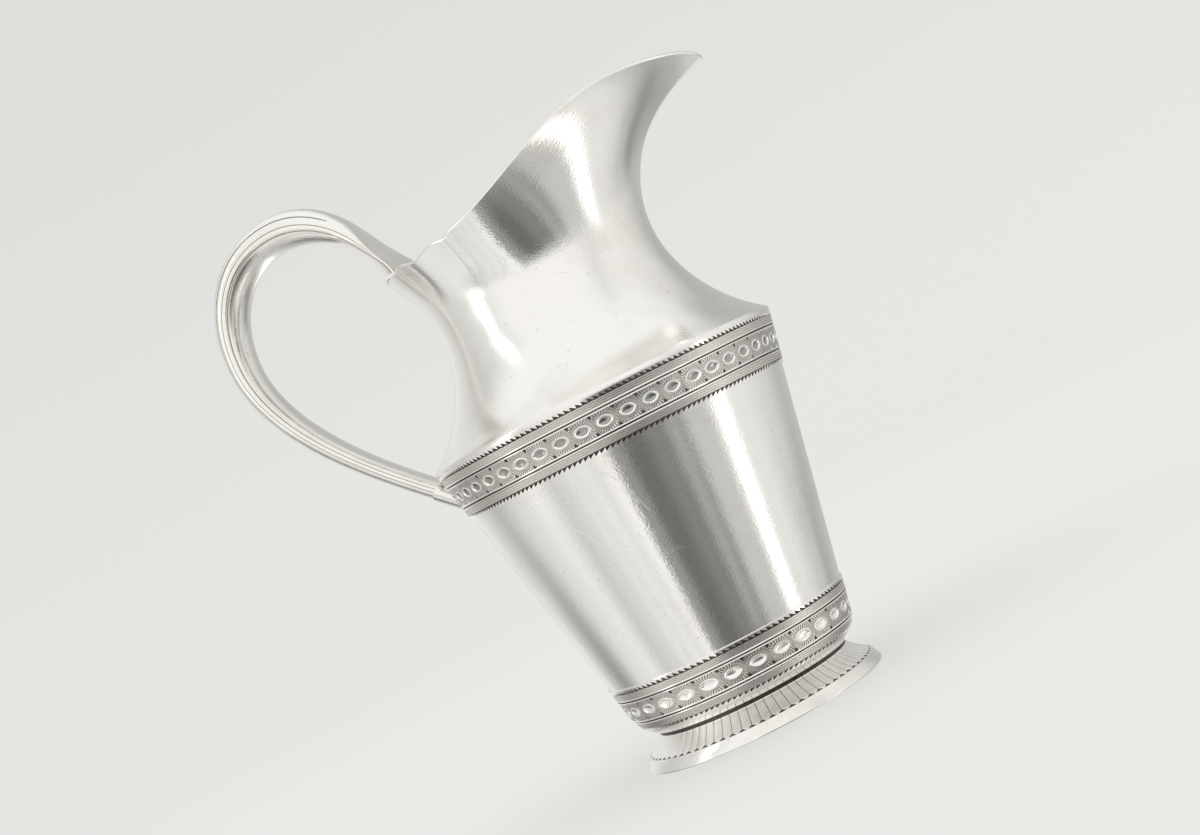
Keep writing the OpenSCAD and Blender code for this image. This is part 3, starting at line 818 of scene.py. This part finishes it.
def makeCollar():
    bm = bmesh.new()
    pitch = fullTurn / collar["flutes"]
    bmesh.ops.create_grid(bm, x_segments=8, y_segments=collar["rows"], size=1)  # one flute, groove to groove

    def downFrom(y):  # share of the way down, and how much of the flute is left below
        t = (1 - y) / 2
        return t, (1 - t) * collar["runLength"] - collar["endStep"]

    for f in bm.faces:  # the groove between two flutes, its wider lower end and the recess above them are dark
        middle = f.calc_center_median()
        column = abs(middle.x) * 4
        t, left = downFrom(middle.y)
        dark = t < collar["neckShare"] or column > 3 or column > 2 and left < collar["darkEnd"]
        f.material_index = 1 if dark else 0
    for v in bm.verts:
        column = round((v.co.x + 1) * 4) - 4
        t, left = downFrom(v.co.y)
        point = collarSurface(t)
        ahead = collarSurface(min(1, t + 0.01)) - collarSurface(max(0, t - 0.01))
        normal = Vector((-ahead.y, ahead.x)).normalized()
        half = pitch * point.x / 2
        panel = half - collar["grooveHalf"]
        if left < collar["roundEnd"]:
            panel *= math.sqrt(max(0.02, 1 - (1 - max(0, left / collar["roundEnd"])) ** 2))
        groove, side = collar["grooveDepth"], collar["grooveDepth"] * collar["sideShare"]
        across = [0, 0.5 * panel, panel, blend(panel, half, collar["grooveSlope"]), half][abs(column)]
        deep = [*collar["panelDepths"], side, groove][abs(column)] if left > 0.02 else side
        spot = point - normal * (deep * ease(t / collar["neckShare"]) + collar["sink"])
        v.co = standing(spot, math.copysign(across, column) / point.x)
    copiesRound(bm, collar["flutes"])

    def stretchTo(edges, radius, height):
        back = Vector((radius - collar["wall"], height))
        return stretchEdges(bm, edges, lambda co: standing(back, math.atan2(co.y, co.x)))

    def endEdges(height):
        return [e for e in openEdges(bm) if all(abs(v.co.z / mm - height) < 0.6 for v in e.verts)]

    # the back follows the straight neck before it flares
    edges = stretchTo(endEdges(collarTop), collarTopRadius, collarTop)
    stretchTo(edges, collarTopRadius, collarTop - collar["neckHeight"])
    stretchTo(endEdges(collarBottom), collarBottomRadius, collarBottom)
    bmesh.ops.bridge_loops(bm, edges=openEdges(bm))
    makePiece(bm, "fluted_collar", [fluteSilver, blackened], ["foot_collar"], crease=28)


# outline points as distances in from the rim's radius and up, then out from the collar's seat and down from the top
footRim = {"ring": 3.0, "edge": [(0.45, 0), (0.2, 0.04), (0.06, 0.16), (0, 0.34), (0.03, 0.5)],
           "seat": [(0.28, 0.16), (0.18, 0.03), (0.1, 0)], "under": 0.3, "columns": 240}


def makeFootRim():
    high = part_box("foot_rim")[1]
    radius, top = high.x / mm, high.z / mm
    outline = [(radius - footRim["ring"], 0)] + [(radius - x, z) for x, z in footRim["edge"]]
    outline += [(collarBottomRadius + x, top - z) for x, z in footRim["seat"]]
    outline.append((collarBottomRadius - collar["wall"] - footRim["under"], top))
    makePiece(turnProfile(outline, footRim["columns"]), "standing_rim", [polished], ["foot_rim"])


makeCollar()
makeFootRim()


# handle: two struck halves along one path

# the path runs in three parts, t 0 to 3: root to top, top to back, back to foot
handle = {"reach": 77, "rise": 24.9, "backDrop": 26, "footDrop": 2.5, "standOff": 3, "plate": 0.9, "wall": 0.8,
          "rootArm": (-0.5, 10.5), "topArms": (12.7, 12.8), "backArms": (15, 17), "footArm": (13.8, 12.834),
          "grip": 6.3, "flare": 14.5, "footShare": 0.86, "gripThick": 9.4, "footThick": 5, "flareThick": 3.2,
          # where along the path each change starts and ends
          "flareRun": (0, 0.55), "taperRun": (1.7, 3), "swellRun": (0.05, 0.95), "thinRun": (1.1, 2.9),
          "bendRun": (0, 0.5), "seamRun": (0.1, 0.7), "seamStart": 0.4, "grooveRun": (0.5, 0.7), "darkFrom": 0.6,
          "grooveBetween": (30, 150), "fullThick": 4, "steps": 144,
          # across the outer skin from the seam to the middle: angle, how far it stands out, finish
          "skin": {"handle_back": [(0, 0.24, 0), (3, 0.18, 1), (5, 0.0, 1), (7, -0.04, 0), (9, 0, 0), (15, 0, 0),
                                   (20, 0, 0), (25, 0, 0), (29, 0, 0), (31, -0.1, 2), (32.5, -0.26, 2),
                                   (34, -0.1, 0), (36, 0, 0), (46, 0, 0), (56, 0, 0), (65, 0, 0), (74, 0, 0),
                                   (82, 0, 0), (90, 0, 0)],
                   "handle_inner": [(0, 0.24, 0), (4, 0.25, 0), (8, 0.24, 0), (11, 0.18, 0), (13.5, 0.05, 1),
                                    (15, -0.08, 1), (17, -0.05, 0), (20, 0, 0), (26, 0, 0), (32, 0, 0), (38, 0, 0),
                                    (44, 0, 0), (51, 0, 0), (58, 0, 0), (65, 0, 0), (72, 0, 0), (78, 0, 0),
                                    (84, 0, 0), (90, 0, 0)]}}
handleTop = rimBack + handle["rise"]
handleBase = rimBack + neck["wire"] + handle["plate"]
flareMiddle = neck["backRadius"] - handle["flareThick"] / 2
handleFoot = bodyTop - handle["footDrop"]


def handleCurves():
    foot = Vector((-(sideRadius(handleFoot) + band["thick"] + handle["standOff"]), handleFoot))
    root = Vector((-flareMiddle, handleBase))
    top = Vector((-(flareMiddle + handle["reach"]) / 2, handleTop))
    back = Vector((-handle["reach"], handleTop - handle["backDrop"]))
    (topIn, topOut), (backIn, backOut), (footOut, footUp) = (handle[k] for k in ("topArms", "backArms", "footArm"))
    return [[root, root + Vector(handle["rootArm"]), top + Vector((topIn, 0)), top],
            [top, top - Vector((topOut, 0)), back + Vector((0, backIn)), back],
            [back, back - Vector((0, backOut)), foot + Vector((-footOut, footUp)), foot]]


handlePath = handleCurves()
footHalf = handle["grip"] * handle["footShare"]


def handleWidth(t):
    if t < 1:
        return blend(handle["flare"], handle["grip"], easeOver(t, handle["flareRun"]))
    return blend(handle["grip"], footHalf, easeOver(t, handle["taperRun"]))


def handleThickness(t):
    if t < 1:
        return blend(handle["flareThick"], handle["gripThick"], easeOver(t, handle["swellRun"]))
    return blend(handle["gripThick"], handle["footThick"], easeOver(t, handle["thinRun"]))


def makeHandleHalf(name, side, node):  # side 1 for the outer half of the loop, -1 for the inner one
    bm = bmesh.new()
    quarter = handle["skin"][node]
    skin = quarter + [(180 - a, push, 0) for a, push, _ in reversed(quarter[:-1])]
    around = len(skin) - 1
    grooveLow, grooveHigh = handle["grooveBetween"]
    bmesh.ops.create_grid(bm, x_segments=2 * around + 2, y_segments=handle["steps"], size=1)
    for f in bm.faces:
        middle = f.calc_center_median()
        column = int((middle.x + 1) * (around + 1))
        column = min(column, around - 1 - column)
        t = (middle.y + 1) / 2 * 3
        if 0 <= column < len(quarter):
            finish = quarter[column][2]
            f.material_index = 0 if finish == 2 and (side < 0 or t < handle["darkFrom"]) else finish
    for v in bm.verts:
        n = round((v.co.x + 1) * (around + 1)) % (2 * around + 2)
        t = min(2.99999, (v.co.y + 1) / 2 * 3)
        curve, share = handlePath[int(t)], t - int(t)
        centre, along = curveAt(curve, share), curveAlong(curve, share)
        wide, thick = handleWidth(t), handleThickness(t) / 2
        outer = n <= around
        degrees, push, _ = skin[n if outer else 2 * around + 1 - n]
        if grooveLow < degrees < grooveHigh:  # the dark groove runs out before the root
            strength = easeOver(t, handle["grooveRun"]) * (side > 0)
        else:
            strength = blend(handle["seamStart"], 1, easeOver(t, handle["seamRun"]))
        inset = -push * strength * min(1, thick / handle["fullThick"]) if outer else handle["wall"]
        x = (wide - inset) * math.cos(math.radians(degrees))
        out = (thick - inset) * math.sin(math.radians(degrees))
        bend = (1 - easeOver(t, handle["bendRun"])) * (flareMiddle - math.sqrt(flareMiddle ** 2 - x * x))
        spot = centre + Vector((along.y, -along.x)) * out * side
        v.co = Vector((spot.x + bend, x * side, spot.y)) * mm
    bmesh.ops.remove_doubles(bm, verts=bm.verts, dist=weldGap)
    bmesh.ops.holes_fill(bm, edges=openEdges(bm), sides=0)
    bmesh.ops.triangulate(bm, faces=[f for f in bm.faces if len(f.verts) > 4])
    makePiece(bm, name, [handled, seamSilver, blackened], [node], crease=40)


makeHandleHalf("handle_back_shell", 1, "handle_back")
makeHandleHalf("handle_inner_shell", -1, "handle_inner")

for node in ("base_disc", "handle_upper_plate", "handle_lower_plate"):  # plain solids, shown as they are
    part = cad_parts[node]
    part.data.materials.clear()
    part.data.materials.append(inner if node == "base_disc" else handled)
